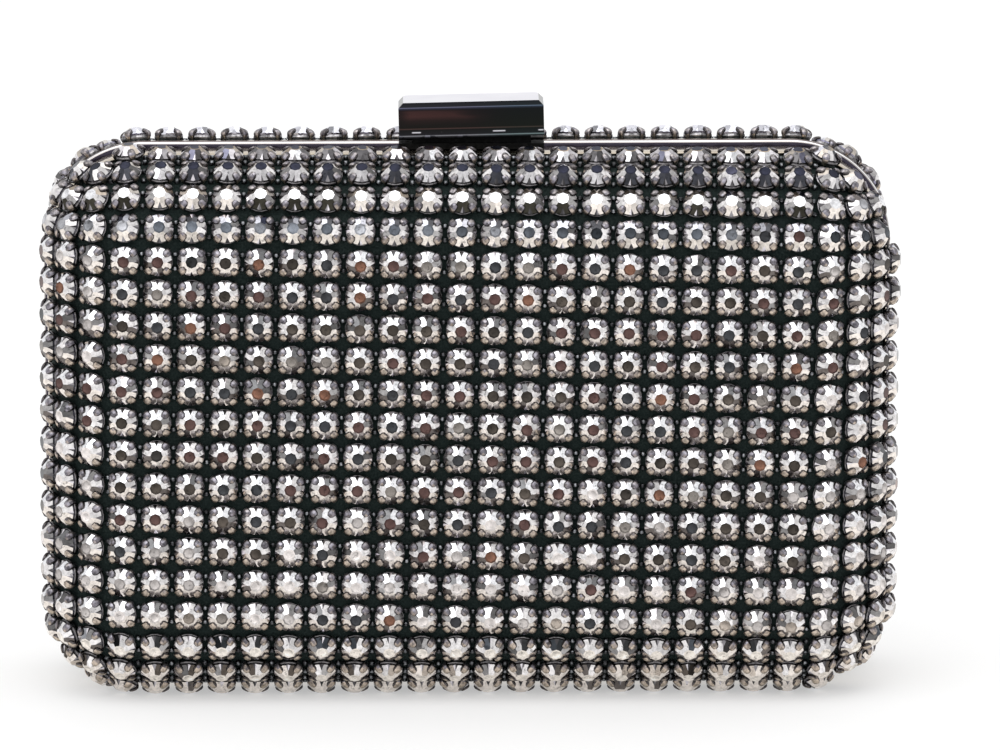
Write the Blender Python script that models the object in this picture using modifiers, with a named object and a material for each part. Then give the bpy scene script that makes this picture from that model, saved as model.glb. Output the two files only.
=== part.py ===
"""Hard clutch bag: two half shells covered in rows of cup-set stones, hinged along the foot.

Each half is a moulded shell with a soft lining, held in a metal frame band. The two bands meet
at the parting plane, y = 0. The front half (towards -Y) swings forward on two barrel hinges, and
a press bar on top lets go of the catch on the back half. All sizes are in metres, +Z is up, and
the bag stands on the stones of its two lowest rows.
"""

import math

import bmesh
import bpy
from mathutils import Matrix, Vector

# Moulded half shells
FLAT_WIDTH = 0.1368
FLAT_HEIGHT = 0.0732
EDGE_RADIUS = 0.0196
HALF_DEPTH = 0.0285
SHELL_WALL = 0.0016
SEAT_GAP = 0.0003

# Lining trays
LINING_WALL = 0.0008

# Frame bands
PARTING_GAP = 0.0003
BAND_WALL = 0.0005
BAND_WRAP = math.radians(2.0)
BAND_TAPER_SHARE = 0.5
BEAD_RISE = 0.0011
BEAD_WIDTH = 0.0012
LIP_WALL = 0.0009
LIP_REACH = 0.0032

# Rows of stones in cups
ROW_COUNT = 19
ROW_WRAP = math.radians(69.83)
ROW_RAISE = 0.0019
STONE_PITCH = 0.00705
CUP_WIDTH_SHARE = 0.728
CUP_HEIGHT = 0.0008
STONE_RISE = 0.0023
TABLE_WIDTH_SHARE = 0.42
FRONT_ROW_TILT = math.radians(1.0)
BACK_ROW_TILT = 0.0
LEVEL_ROWS = 3
CORNER_DRAW = 0.14
CORNER_DRAW_LENGTH = 0.0200
FRONT_ROW_SHIFT = -0.0019
BACK_ROW_SHIFT = 0.0

# Barrel hinges at the foot
HINGE_SPACING = 0.0960
HINGE_LENGTH = 0.0150
BARREL_RADIUS = 0.00070
BORE_RADIUS = 0.00042
PIN_RADIUS = 0.00035
LEAF_DEPTH = 0.0058
LEAF_WALL = 0.0004
LEAF_GAP = 0.00015
KNUCKLE_GAP = 0.0003

# Press clasp
CLASP_SHIFT = 0.0010
CLASP_WIDTH = 0.0307
CLASP_DEPTH = 0.0130
BAR_HEIGHT = 0.0074
BAR_LEAN = math.radians(1.2)
BAR_WALL = 0.0008
BAR_END_RADIUS = 0.0022
BAR_EDGE_BEVEL = 0.0010
BASE_HEIGHT = 0.0012
PRESS_TRAVEL = 0.0008
PRESS_GAP = 0.0006
GUIDE_WIDTH = 0.0030
GUIDE_DEPTH = 0.0014
GUIDE_END_GAP = 0.0020
GUIDE_RISE = 0.0050
RAIL_WALL = 0.0006
RAIL_RISE = 0.0026
CATCH_WIDTH = 0.0080
CATCH_WALL = 0.0006
CATCH_STEM_BACK = 0.0034
CATCH_RISE = 0.0041
CATCH_LIP = 0.0012
LATCH_WIDTH = 0.0060
LATCH_WALL = 0.0006
LATCH_GAP = 0.0002
LATCH_BITE = 0.0003
WINDOW_GAP = 0.0006
SPRING_RADIUS = 0.0009
SPRING_WIRE = 0.00015
SPRING_TURNS = 4
SPRING_BACK = 0.0026

# How finely round shapes are cut
CORNER_STEPS = 5
EDGE_STEPS = 5
LINING_CORNER_STEPS = 3
LINING_EDGE_STEPS = 3
BARREL_SIDES = 12
PIN_SIDES = 12
SPRING_POINTS_PER_TURN = 8
CUT_OVERRUN = 0.0010

# Sizes that follow
CORNER_DEPTH = HALF_DEPTH - EDGE_RADIUS
CASE_TOP = FLAT_HEIGHT / 2 + EDGE_RADIUS
BAND_INNER = EDGE_RADIUS + SEAT_GAP
BAND_OUTER = BAND_INNER + BAND_WALL
BEAD_OUTER = BAND_OUTER + BEAD_RISE
LIP_FRONT = PARTING_GAP / 2 + LIP_WALL
SHELL_EDGE = LIP_FRONT + SEAT_GAP
# The shell's facets lie inside its true round, so the lining keeps clear of their middles
FACET_SHARE = math.cos(math.pi / 4 / EDGE_STEPS) * math.cos(math.pi / 4 / CORNER_STEPS)
LINING_RADIUS = EDGE_RADIUS * FACET_SHARE - SHELL_WALL - SEAT_GAP
FRAME_DEPTH = CORNER_DEPTH + BAND_OUTER * math.sin(BAND_WRAP)
CUP_BASE = EDGE_RADIUS + SEAT_GAP
CUP_TOP = CUP_BASE + CUP_HEIGHT
STONE_TIP = CUP_TOP + STONE_RISE
PITCH_RADIUS = CUP_TOP
# The outermost rows reach round the edges by an equal angle, apart from the rows' small raise
ROW_PITCH = (FLAT_HEIGHT + 2 * PITCH_RADIUS * ROW_WRAP) / (ROW_COUNT - 1)
CUP_WIDTH = ROW_PITCH * CUP_WIDTH_SHARE
BEND_LIFT = (STONE_PITCH / 2) ** 2 / (2 * EDGE_RADIUS)
FOOT_PLANE = -(FLAT_HEIGHT / 2 + BAND_OUTER)
HINGE_AXIS = FOOT_PLANE
CLASP_FOOT = FLAT_HEIGHT / 2 + BAND_OUTER + SEAT_GAP
CLASP_BASE_TOP = CLASP_FOOT + BASE_HEIGHT
BAR_BOTTOM = CLASP_BASE_TOP + PRESS_TRAVEL + PRESS_GAP
BAR_TOP = BAR_BOTTOM + BAR_HEIGHT
BEAD_CLEAR = PARTING_GAP / 2 + BEAD_WIDTH + SEAT_GAP
GUIDE_SPACING = CLASP_WIDTH - 2 * (BAR_WALL + GUIDE_END_GAP) - GUIDE_WIDTH


def lowest_latitude():
    """Angle of the lowest row below the flat of the face, round the bottom edge."""
    below = (ROW_COUNT - 1) / 2 * ROW_PITCH - ROW_RAISE - FLAT_HEIGHT / 2
    return max(below, 0.0) / PITCH_RADIUS


# Height of the case's middle above the surface that the lowest stones stand on. A table's lower
# edge reaches further down than its middle.
TABLE_HALF = CUP_WIDTH * TABLE_WIDTH_SHARE / 2
STAND_HEIGHT = (
    FLAT_HEIGHT / 2
    + STONE_TIP * math.sin(lowest_latitude())
    + TABLE_HALF * math.cos(lowest_latitude())
)


def clear_scene():
    for leftover in list(bpy.data.objects):
        bpy.data.objects.remove(leftover, do_unlink=True)


def new_collection(name):
    made = bpy.data.collections.new(name)
    bpy.context.scene.collection.children.link(made)
    return made


def new_material(name, colour, roughness, metallic):
    made = bpy.data.materials.new(name)
    made.use_nodes = True
    shader = made.node_tree.nodes["Principled BSDF"]
    shader.inputs["Base Color"].default_value = (*colour, 1.0)
    shader.inputs["Roughness"].default_value = roughness
    shader.inputs["Metallic"].default_value = metallic
    made.diffuse_color = (*colour, 1.0)
    return made


def new_pivot(name, place, parent=None):
    """An empty on a joint's axis, at a place given from the middle of the case."""
    pivot = bpy.data.objects.new(name, None)
    PARTS.objects.link(pivot)
    pivot.location = Vector(place) + Vector((0, 0, STAND_HEIGHT))
    if parent:
        pivot.parent = parent
        pivot.location -= parent.matrix_world.translation
    bpy.context.view_layer.update()
    return pivot


def new_part(name, mesh, material, pivot, smooth=None):
    """Links a mesh drawn about the middle of the case as an object whose origin is its pivot."""
    own_material = material.copy()
    own_material.name = name
    offset = pivot.matrix_world.translation - Vector((0, 0, STAND_HEIGHT))
    mesh.transform(Matrix.Translation(-offset))
    mesh.name = name
    mesh.materials.clear()
    mesh.materials.append(own_material)
    if smooth:
        mesh.shade_smooth()
        mesh.set_sharp_from_angle(angle=smooth)
    part = bpy.data.objects.new(name, mesh)
    PARTS.objects.link(part)
    part.parent = pivot
    return part


def mesh_of(bm):
    mesh = bpy.data.meshes.new("shape")
    bm.to_mesh(mesh)
    bm.free()
    return mesh


def turned_to_back(mesh):
    """The same shape on the other side of the parting plane."""
    other = mesh.copy()
    other.transform(Matrix.Scale(-1, 4, (0, 1, 0)))
    other.flip_normals()
    return other


def evaluated_mesh(mesh, *settings):
    """The mesh after modifiers, each given as its type and a dictionary of its values."""
    helper = bpy.data.objects.new("helper", mesh)
    GUIDES.objects.link(helper)
    for kind, values in settings:
        modifier = helper.modifiers.new(kind.title(), kind)
        for key, value in values.items():
            setattr(modifier, key, value)
    graph = bpy.context.evaluated_depsgraph_get()
    result = bpy.data.meshes.new_from_object(helper.evaluated_get(graph))
    bpy.data.objects.remove(helper)
    return result


def joined(mesh, others, operation):
    """The mesh with others joined to it or cut from it."""
    for other in others:
        tool = bpy.data.objects.new("tool", other)
        tool.hide_render = True
        tool.display_type = "WIRE"
        GUIDES.objects.link(tool)
        values = {"operation": operation, "solver": "EXACT", "object": tool}
        mesh = evaluated_mesh(mesh, ("BOOLEAN", values))
        bpy.data.objects.remove(tool)
    return mesh


def box(low, high):
    bm = bmesh.new()
    bmesh.ops.create_cube(bm, size=1)
    low, high = Vector(low), Vector(high)
    bmesh.ops.scale(bm, vec=high - low, verts=bm.verts)
    bmesh.ops.translate(bm, vec=(low + high) / 2, verts=bm.verts)
    return mesh_of(bm)


def rod_along_x(radius, low_x, high_x, y, z, sides):
    bm = bmesh.new()
    bmesh.ops.create_cone(
        bm, cap_ends=True, segments=sides, radius1=radius, radius2=radius, depth=high_x - low_x
    )
    bmesh.ops.rotate(bm, matrix=Matrix.Rotation(math.pi / 2, 3, "Y"), verts=bm.verts)
    bmesh.ops.translate(bm, vec=((low_x + high_x) / 2, y, z), verts=bm.verts)
    return mesh_of(bm)


def case_ring(radius, depth, steps):
    """A rounded rectangle about the flat of the face, anticlockwise as seen from the front."""
    points = []
    for corner in range(4):
        middle = (corner + 0.5) * math.pi / 2
        centre_x = math.copysign(FLAT_WIDTH / 2, math.cos(middle))
        centre_z = math.copysign(FLAT_HEIGHT / 2, math.sin(middle))
        for step in range(steps + 1):
            angle = (corner + step / steps) * math.pi / 2
            x = centre_x + radius * math.cos(angle)
            z = centre_z + radius * math.sin(angle)
            points.append((x, -depth, z))
    return points


def swept_round_case(profile, steps, closed):
    """A skin through the rings of a profile of (corner radius, depth) points.

    A closed profile runs round into a hoop. An open one starts at a free edge and ends with a flat
    face. Its faces look outwards, away from the inside of the bag.
    """
    bm = bmesh.new()
    rings = []
    for radius, depth in profile:
        rings.append([bm.verts.new(point) for point in case_ring(radius, depth, steps)])
    pairs = list(zip(rings, rings[1:]))
    if closed:
        pairs.append((rings[-1], rings[0]))
    for near, far in pairs:
        for i in range(len(near)):
            j = (i + 1) % len(near)
            bm.faces.new((near[i], near[j], far[j], far[i]))
    if not closed:
        bm.faces.new(rings[-1])
    bmesh.ops.remove_doubles(bm, verts=bm.verts, dist=SEAT_GAP / 100)
    bmesh.ops.dissolve_degenerate(bm, dist=SEAT_GAP / 100, edges=bm.edges)
    return mesh_of(bm)


def pan_profile(radius, edge, steps):
    """From a free edge, straight to the corner plane, then round onto the flat of the face."""
    points = [(radius, edge)]
    for step in range(steps + 1):
        angle = step / steps * math.pi / 2
        points.append((radius * math.cos(angle), CORNER_DEPTH + radius * math.sin(angle)))
    points[-1] = (0, CORNER_DEPTH + radius)
    return points


def pan(radius, edge, wall, corner_steps, edge_steps):
    """An open tray with the case's rounded edges, its wall built inwards."""
    skin = swept_round_case(pan_profile(radius, edge, edge_steps), corner_steps, closed=False)
    solidify = {"thickness": wall, "offset": -1, "use_even_offset": True, "use_rim": True}
    return evaluated_mesh(skin, ("SOLIDIFY", solidify))


def frame_profile():
    """Section of a frame band: lip at the parting plane, bead, and the band round the shell."""
    start = PARTING_GAP / 2
    bead_end = start + BEAD_WIDTH
    bead_round = BEAD_RISE / 2
    tip_outer = BAND_INNER + BAND_WALL * BAND_TAPER_SHARE
    points = [(EDGE_RADIUS - LIP_REACH, start)]
    points.append((BEAD_OUTER - bead_round, start))
    points.append((BEAD_OUTER, start + bead_round))
    points.append((BEAD_OUTER, bead_end - bead_round))
    points.append((BAND_OUTER, bead_end))
    points.append((BAND_OUTER, CORNER_DEPTH))
    points.append((tip_outer * math.cos(BAND_WRAP), FRAME_DEPTH))
    points.append((BAND_INNER * math.cos(BAND_WRAP), FRAME_DEPTH))
    points.append((BAND_INNER, CORNER_DEPTH))
    points.append((BAND_INNER, LIP_FRONT))
    points.append((EDGE_RADIUS - LIP_REACH, LIP_FRONT))
    return points


def hinge_middles():
    return {"left": -HINGE_SPACING / 2, "right": HINGE_SPACING / 2}


def frame_band():
    """One hoop, dressed flat along the foot, with its bead cut away for the hinge barrels."""
    band = swept_round_case(frame_profile(), CORNER_STEPS, closed=True)
    half_width = FLAT_WIDTH / 2 + BEAD_OUTER + CUT_OVERRUN
    far = FRAME_DEPTH + CUT_OVERRUN
    below = FOOT_PLANE - BEAD_RISE - CUT_OVERRUN
    cutters = [box((-half_width, -far, below), (half_width, CUT_OVERRUN, FOOT_PLANE))]
    reach = BARREL_RADIUS + KNUCKLE_GAP
    half_length = HINGE_LENGTH / 2 + KNUCKLE_GAP
    for middle in hinge_middles().values():
        low = (middle - half_length, -reach, below)
        high = (middle + half_length, CUT_OVERRUN, HINGE_AXIS + reach)
        cutters.append(box(low, high))
    return joined(band, cutters, "DIFFERENCE")


def point_on_case(u, v, height):
    """A point at this height over the shell, and the outward normal there.

    u runs along a row from the middle of the front face and v runs up it. Past the flat, a row
    keeps its latitude on the rounded edge, except that rows draw a little towards the bag's ends
    as they turn a corner, to follow the frame round it.
    """
    over_v = max(abs(v) - FLAT_HEIGHT / 2, 0.0)
    over_u = max(abs(u) - FLAT_WIDTH / 2, 0.0)
    turned = min(over_u / CORNER_DRAW_LENGTH, 1.0)
    latitude = over_v / PITCH_RADIUS * (1 - CORNER_DRAW * turned * turned * (3 - 2 * turned))
    longitude = over_u / (PITCH_RADIUS * math.cos(latitude))
    normal = Vector(
        (
            math.copysign(math.cos(latitude) * math.sin(longitude), u),
            -math.cos(latitude) * math.cos(longitude),
            math.copysign(math.sin(latitude), v),
        )
    )
    seat_x = math.copysign(min(abs(u), FLAT_WIDTH / 2), u)
    seat_z = math.copysign(min(abs(v), FLAT_HEIGHT / 2), v)
    seat = Vector((seat_x, -CORNER_DEPTH, seat_z))
    return seat + normal * (EDGE_RADIUS + height), normal


class Row:
    """The path of one row, which leans by its own small angle, as rows laid by hand do."""

    def __init__(self, index, tilt, shift):
        middle = (ROW_COUNT - 1) / 2
        share = min((ROW_COUNT - 1 - index) / LEVEL_ROWS, 1.0)
        self.height = (middle - index) * ROW_PITCH + ROW_RAISE
        self.slope = math.tan(tilt) * share
        self.start = shift + self.height * math.tan(tilt)

    def v_at(self, u):
        return self.height - self.slope * u

    def section_at(self, u):
        """Seat on the shell, outward normal, direction along the row and direction across it."""
        step = STONE_PITCH / 100
        seat, normal = point_on_case(u, self.v_at(u), 0.0)
        ahead = point_on_case(u + step, self.v_at(u + step), 0.0)[0]
        behind = point_on_case(u - step, self.v_at(u - step), 0.0)[0]
        along = (ahead - behind).normalized()
        across = normal.cross(along).normalized()
        return seat, normal, along, across

    def clears_frame(self, u):
        """Whether a stone here stays in front of the frame band."""
        seat, normal, along, across = self.section_at(u)
        rim = FRAME_DEPTH + SEAT_GAP
        for end in (-CUP_WIDTH / 2, CUP_WIDTH / 2):
            for side in (-CUP_WIDTH / 2, CUP_WIDTH / 2):
                corner = seat + normal * SEAT_GAP + along * end + across * side
                if -corner.y < rim:
                    return False
        return True

    def stones(self):
        """Places of the stones along the row, from the middle outwards to both ends."""
        places = []
        for way in (-1, 1):
            u = self.start if way > 0 else self.start - STONE_PITCH
            while self.clears_frame(u):
                places.append(u)
                u += way * STONE_PITCH
        return sorted(places)


def stone_row(row):
    """One row as a single strip: a cup under each stone, the stone cut to a flat table."""
    bm = bmesh.new()
    places = row.stones()
    joints = [places[0] - CUP_WIDTH / 2]
    joints += [(a + b) / 2 for a, b in zip(places, places[1:])]
    joints.append(places[-1] + CUP_WIDTH / 2)

    def section(u):
        seat, normal, _, across = row.section_at(u)
        half = across * CUP_WIDTH / 2
        turning = abs(u) + STONE_PITCH / 2 > FLAT_WIDTH / 2
        low = seat + normal * (SEAT_GAP + (BEND_LIFT if turning else 0))
        high = low + normal * CUP_HEIGHT
        return [bm.verts.new(point) for point in (low - half, low + half, high + half, high - half)]

    sections = [section(u) for u in joints]
    bm.faces.new(reversed(sections[0]))
    bm.faces.new(sections[-1])
    for place, near, far in zip(places, sections, sections[1:]):
        seat, normal, along, across = row.section_at(place)
        top = seat + normal * (STONE_TIP - EDGE_RADIUS)
        ahead = along * STONE_PITCH * TABLE_WIDTH_SHARE / 2
        up = across * TABLE_HALF
        corners = (top - ahead + up, top - ahead - up, top + ahead - up, top + ahead + up)
        table = [bm.verts.new(point) for point in corners]
        for i, j in ((0, 1), (1, 2), (3, 0)):
            bm.faces.new((near[i], near[j], far[j], far[i]))
        bm.faces.new(table)
        bm.faces.new((near[2], near[3], table[1], table[0]))
        bm.faces.new((far[3], far[2], table[3], table[2]))
        bm.faces.new((near[3], far[3], table[2], table[1]))
        bm.faces.new((far[2], near[2], table[0], table[3]))
    bmesh.ops.recalc_face_normals(bm, faces=bm.faces)
    return mesh_of(bm)


def hinge_leaf(middle, knuckles, own, other):
    """A leaf under the front band: a plate, and its knuckles round the pin.

    knuckles are the shares of the hinge's length where this leaf has a knuckle.
    """
    start = middle - HINGE_LENGTH / 2
    plate_low = HINGE_AXIS - LEAF_GAP - LEAF_WALL
    plate_high = HINGE_AXIS - LEAF_GAP
    inner = -(BARREL_RADIUS + KNUCKLE_GAP)
    shape = box((start, -LEAF_DEPTH, plate_low), (start + HINGE_LENGTH, inner, plate_high))
    added = []
    for low_share, high_share in knuckles:
        low = start + HINGE_LENGTH * low_share + (own if low_share > 0 else 0)
        high = start + HINGE_LENGTH * high_share - (other if high_share < 1 else 0)
        added.append(box((low, inner - LEAF_WALL, plate_low), (high, 0, plate_high)))
        added.append(rod_along_x(BARREL_RADIUS, low, high, 0, HINGE_AXIS, BARREL_SIDES))
    shape = joined(shape, added, "UNION")
    ends = (start - CUT_OVERRUN, start + HINGE_LENGTH + CUT_OVERRUN)
    bore = rod_along_x(BORE_RADIUS, *ends, 0, HINGE_AXIS, BARREL_SIDES)
    return joined(shape, [bore], "DIFFERENCE")


def add_hinges(back, front, metal):
    half_gap = KNUCKLE_GAP / 2
    for side, middle in hinge_middles().items():
        outer = hinge_leaf(middle, ((0, 1 / 3), (2 / 3, 1)), half_gap, half_gap)
        inner = hinge_leaf(middle, ((1 / 3, 2 / 3),), half_gap, half_gap)
        new_part(f"back_hinge_leaf_{side}", turned_to_back(outer), metal, back)
        new_part(f"front_hinge_leaf_{side}", inner, metal, front)
        ends = (middle - HINGE_LENGTH / 2, middle + HINGE_LENGTH / 2)
        pin = rod_along_x(PIN_RADIUS, *ends, 0, HINGE_AXIS, PIN_SIDES)
        new_part(f"hinge_pin_{side}", pin, metal, back)


def clasp_bar():
    """A hollow bar, rounded at its back corners, with a window behind for the catch."""
    half_width = CLASP_WIDTH / 2
    half_depth = CLASP_DEPTH / 2
    bm = bmesh.new()
    bmesh.ops.create_cube(bm, size=1)
    size = (CLASP_WIDTH, CLASP_DEPTH, BAR_HEIGHT)
    bmesh.ops.scale(bm, vec=size, verts=bm.verts)
    bmesh.ops.translate(bm, vec=(0, 0, (BAR_BOTTOM + BAR_TOP) / 2), verts=bm.verts)

    def upright_at_back(edge):
        first, second = edge.verts
        same_place = (first.co.xy - second.co.xy).length < SEAT_GAP
        return same_place and first.co.y > 0

    back_edges = [edge for edge in bm.edges if upright_at_back(edge)]
    bmesh.ops.bevel(bm, geom=back_edges, offset=BAR_END_RADIUS, segments=3, profile=0.5, affect="EDGES")
    rim = [edge for edge in bm.edges if min(vert.co.z for vert in edge.verts) > BAR_TOP - SEAT_GAP]
    bmesh.ops.bevel(bm, geom=rim, offset=BAR_EDGE_BEVEL, segments=1, profile=0.5, affect="EDGES")
    shape = mesh_of(bm)
    inner = (half_width - BAR_WALL, half_depth - BAR_WALL)
    hollow = box((-inner[0], -inner[1], BAR_BOTTOM - CUT_OVERRUN), (inner[0], inner[1], BAR_TOP - BAR_WALL))
    rounding = BAR_END_RADIUS - BAR_WALL
    hollow = evaluated_mesh(
        hollow,
        ("BEVEL", {"width": rounding, "segments": 2, "limit_method": "ANGLE"}),
    )
    window_half = CATCH_WIDTH / 2 + WINDOW_GAP
    window_top = CLASP_BASE_TOP + CATCH_RISE + WINDOW_GAP
    window = box(
        (-window_half, inner[1] - WINDOW_GAP, BAR_BOTTOM - CUT_OVERRUN),
        (window_half, half_depth + CUT_OVERRUN, window_top),
    )
    return joined(shape, [hollow, window], "DIFFERENCE")


def clasp_base():
    """The plate on the front band that the bar is pressed towards.

    Two posts guide the bar, and a rail between them closes the gap under its front wall.
    """
    half_width = CLASP_WIDTH / 2
    front = -CLASP_DEPTH / 2
    plate = box((-half_width, front, CLASP_FOOT), (half_width, -BEAD_CLEAR, CLASP_BASE_TOP))
    posts = []
    post_front = front + BAR_WALL + SEAT_GAP
    for way in (-1, 1):
        middle = way * GUIDE_SPACING / 2
        low = (middle - GUIDE_WIDTH / 2, post_front, CLASP_BASE_TOP - BASE_HEIGHT / 2)
        high = (middle + GUIDE_WIDTH / 2, post_front + GUIDE_DEPTH, CLASP_BASE_TOP + GUIDE_RISE)
        posts.append(box(low, high))
    rail_front = post_front + (GUIDE_DEPTH - RAIL_WALL) / 2
    rail_low = (-GUIDE_SPACING / 2, rail_front, CLASP_BASE_TOP - BASE_HEIGHT / 2)
    rail_high = (GUIDE_SPACING / 2, rail_front + RAIL_WALL, CLASP_BASE_TOP + RAIL_RISE)
    return joined(plate, [*posts, box(rail_low, rail_high)], "UNION")


def catch_lip_bottom():
    return CLASP_BASE_TOP + CATCH_RISE - CATCH_LIP


def catch_lip_front():
    return LATCH_WALL + LATCH_GAP


def clasp_catch():
    """The plate on the back band, with a hooked arm that reaches over the latch."""
    half_width = CLASP_WIDTH / 2
    half_catch = CATCH_WIDTH / 2
    top = CLASP_BASE_TOP + CATCH_RISE
    lip_front = catch_lip_front()
    plate = box((-half_width, BEAD_CLEAR, CLASP_FOOT), (half_width, CLASP_DEPTH / 2, CLASP_BASE_TOP))
    stem_low = (-half_catch, CATCH_STEM_BACK - CATCH_WALL, CLASP_BASE_TOP - BASE_HEIGHT / 2)
    stem = box(stem_low, (half_catch, CATCH_STEM_BACK, top))
    arm_high = (half_catch, CATCH_STEM_BACK - CATCH_WALL / 2, top)
    arm = box((-half_catch, lip_front, top - CATCH_WALL), arm_high)
    lip_high = (half_catch, lip_front + CATCH_WALL, top - CATCH_WALL / 2)
    lip = box((-half_catch, lip_front, catch_lip_bottom()), lip_high)
    return joined(plate, [stem, arm, lip], "UNION")


def clasp_latch():
    """The tongue that hangs from the bar and bites behind the catch's lip until it is pressed."""
    half_width = LATCH_WIDTH / 2
    nose_front = catch_lip_front() + CATCH_WALL + LATCH_GAP
    nose_top = catch_lip_bottom() + LATCH_BITE
    foot_top = catch_lip_bottom() - LATCH_BITE - LATCH_GAP
    foot_low = foot_top - LATCH_WALL
    stem_back = 0
    stem = box(
        (-half_width, stem_back - LATCH_WALL, foot_low),
        (half_width, stem_back, BAR_TOP - BAR_WALL - SEAT_GAP),
    )
    foot = box(
        (-half_width, stem_back - LATCH_WALL / 2, foot_low),
        (half_width, nose_front + LATCH_WALL, foot_top),
    )
    nose = box(
        (-half_width, nose_front, foot_low + LATCH_WALL / 2),
        (half_width, nose_front + LATCH_WALL, nose_top),
    )
    return joined(stem, [foot, nose], "UNION")


def leaning(mesh):
    """The bar doesn't sit quite level on its base: it leans up towards +X about its own middle."""
    middle = Vector((0, 0, (BAR_BOTTOM + BAR_TOP) / 2))
    turn = Matrix.Rotation(-BAR_LEAN, 4, "Y")
    mesh.transform(Matrix.Translation(middle) @ turn @ Matrix.Translation(-middle))
    return mesh


def clasp_spring():
    """An open coil between the base plate and the roof of the bar."""
    low = CLASP_BASE_TOP + SEAT_GAP + SPRING_WIRE
    high = BAR_TOP - BAR_WALL - SEAT_GAP - SPRING_WIRE
    count = SPRING_TURNS * SPRING_POINTS_PER_TURN
    curve = bpy.data.curves.new("coil", "CURVE")
    curve.dimensions = "3D"
    curve.bevel_depth = SPRING_WIRE
    curve.bevel_resolution = 0
    curve.use_fill_caps = True
    spline = curve.splines.new("POLY")
    spline.points.add(count)
    for i, point in enumerate(spline.points):
        angle = i / SPRING_POINTS_PER_TURN * math.tau
        x = SPRING_RADIUS * math.cos(angle)
        y = SPRING_RADIUS * math.sin(angle) - SPRING_BACK
        point.co = (x, y, low + (high - low) * i / count, 1)
    helper = bpy.data.objects.new("coil", curve)
    GUIDES.objects.link(helper)
    graph = bpy.context.evaluated_depsgraph_get()
    mesh = bpy.data.meshes.new_from_object(helper.evaluated_get(graph))
    bpy.data.objects.remove(helper)
    bm = bmesh.new()
    bm.from_mesh(mesh)
    bmesh.ops.remove_doubles(bm, verts=bm.verts, dist=SPRING_WIRE / 100)
    bmesh.ops.recalc_face_normals(bm, faces=bm.faces)
    return mesh_of(bm)


def new_clasp_part(name, mesh, material, pivot):
    """The whole clasp stands a little towards +X of the bag's middle."""
    mesh.transform(Matrix.Translation((CLASP_SHIFT, 0, 0)))
    return new_part(name, mesh, material, pivot)


def add_half(word, pivot, place, tilt, shift):
    """Shell, lining, frame band and rows of one half. place turns front shapes to its side."""
    shell = pan(EDGE_RADIUS, SHELL_EDGE, SHELL_WALL, CORNER_STEPS, EDGE_STEPS)
    new_part(f"{word}_shell", place(shell), BACKING, pivot, SMOOTH_ANGLE)
    tray = pan(LINING_RADIUS, SHELL_EDGE, LINING_WALL, LINING_CORNER_STEPS, LINING_EDGE_STEPS)
    new_part(f"{word}_lining", place(tray), SATIN, pivot, SMOOTH_ANGLE)
    new_part(f"{word}_frame", place(frame_band()), BAND_METAL, pivot, SMOOTH_ANGLE)
    for index in range(ROW_COUNT):
        strip = stone_row(Row(index, tilt, shift))
        new_part(f"{word}_stone_row_{index + 1:02d}", place(strip), STONES, pivot)


clear_scene()
PARTS = new_collection("clutch_bag")
GUIDES = new_collection("cutters")
SMOOTH_ANGLE = math.radians(30.0)
BACKING = new_material("backing", (0.012, 0.012, 0.013), 0.85, 0.0)
SATIN = new_material("satin", (0.02, 0.02, 0.022), 0.5, 0.0)
BAND_METAL = new_material("band_metal", (0.60, 0.54, 0.46), 0.28, 1.0)
STONES = new_material("stones", (0.42, 0.39, 0.37), 0.12, 0.9)
HINGE_METAL = new_material("hinge_metal", (0.55, 0.52, 0.48), 0.3, 1.0)
GUNMETAL = new_material("gunmetal", (0.09, 0.09, 0.10), 0.08, 1.0)
SPRING_STEEL = new_material("spring_steel", (0.5, 0.5, 0.52), 0.3, 1.0)

BACK_HALF = new_pivot("back_half", (0, 0, 0))
FRONT_HALF = new_pivot("front_half", (0, 0, HINGE_AXIS))
PRESS_BAR = new_pivot("press_bar", (CLASP_SHIFT, 0, BAR_BOTTOM), FRONT_HALF)

add_half("back", BACK_HALF, turned_to_back, BACK_ROW_TILT, BACK_ROW_SHIFT)
add_half("front", FRONT_HALF, lambda mesh: mesh, FRONT_ROW_TILT, FRONT_ROW_SHIFT)
add_hinges(BACK_HALF, FRONT_HALF, HINGE_METAL)
new_clasp_part("clasp_catch", clasp_catch(), GUNMETAL, BACK_HALF)
new_clasp_part("clasp_base", clasp_base(), GUNMETAL, FRONT_HALF)
new_clasp_part("clasp_spring", clasp_spring(), SPRING_STEEL, FRONT_HALF)
new_clasp_part("clasp_bar", leaning(clasp_bar()), GUNMETAL, PRESS_BAR)
new_clasp_part("clasp_latch", leaning(clasp_latch()), GUNMETAL, PRESS_BAR)
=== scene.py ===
import math
import random

import bmesh
import bpy
from mathutils import Matrix, Vector


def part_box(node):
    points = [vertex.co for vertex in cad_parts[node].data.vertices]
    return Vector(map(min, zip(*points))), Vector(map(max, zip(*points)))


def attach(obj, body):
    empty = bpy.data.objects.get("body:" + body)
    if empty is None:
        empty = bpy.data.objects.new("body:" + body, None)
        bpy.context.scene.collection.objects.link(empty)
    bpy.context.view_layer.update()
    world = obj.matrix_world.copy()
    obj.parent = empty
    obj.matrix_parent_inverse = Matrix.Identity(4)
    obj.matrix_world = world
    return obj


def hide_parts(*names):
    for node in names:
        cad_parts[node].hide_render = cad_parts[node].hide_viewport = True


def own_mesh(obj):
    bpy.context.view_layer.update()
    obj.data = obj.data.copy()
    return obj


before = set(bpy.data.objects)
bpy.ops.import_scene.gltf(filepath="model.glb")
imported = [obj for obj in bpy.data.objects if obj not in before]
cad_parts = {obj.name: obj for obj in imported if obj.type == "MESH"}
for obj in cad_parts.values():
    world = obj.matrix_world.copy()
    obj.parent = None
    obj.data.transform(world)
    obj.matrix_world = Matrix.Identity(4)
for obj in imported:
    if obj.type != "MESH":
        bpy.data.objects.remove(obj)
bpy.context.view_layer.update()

MM = 0.001

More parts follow.
